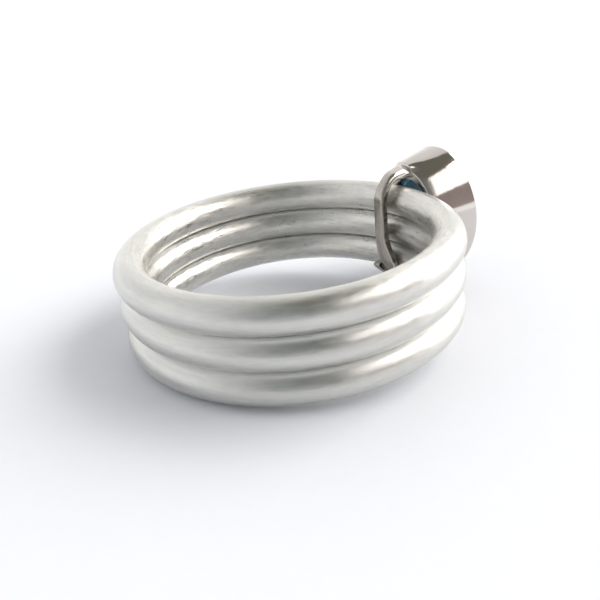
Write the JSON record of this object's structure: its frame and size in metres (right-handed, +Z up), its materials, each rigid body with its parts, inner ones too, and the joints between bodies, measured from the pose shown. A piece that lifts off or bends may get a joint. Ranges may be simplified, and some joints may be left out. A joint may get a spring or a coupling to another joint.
{
  "type": "finger ring",
  "caption": "Ring of stacked round-wire bands in satin silver, held by a polished strap whose oval cup stands off the side with a faceted aquamarine and a small flush-set diamond.",
  "frame": {"origin": "on the table, below the centre of the box round the lying ring", "axes": "+X from the finger hole towards the aquamarine, +Y across the ring towards the side with the diamond, +Z up from the table; the bands' axis leans 4.3 degrees from +Z towards -X"},
  "size_m": [0.0254, 0.0212, 0.0096],
  "materials": {
    "satin_silver": "satin",
    "white_gold": "polished",
    "aquamarine_stone": "polished",
    "diamond_stone": "polished"
  },
  "bodies": {
    "root": {"band_top": "satin_silver", "band_middle": "satin_silver", "band_bottom": "satin_silver", "setting": "white_gold", "aquamarine": "aquamarine_stone", "diamond": "diamond_stone"}
  },
  "joints": []
}
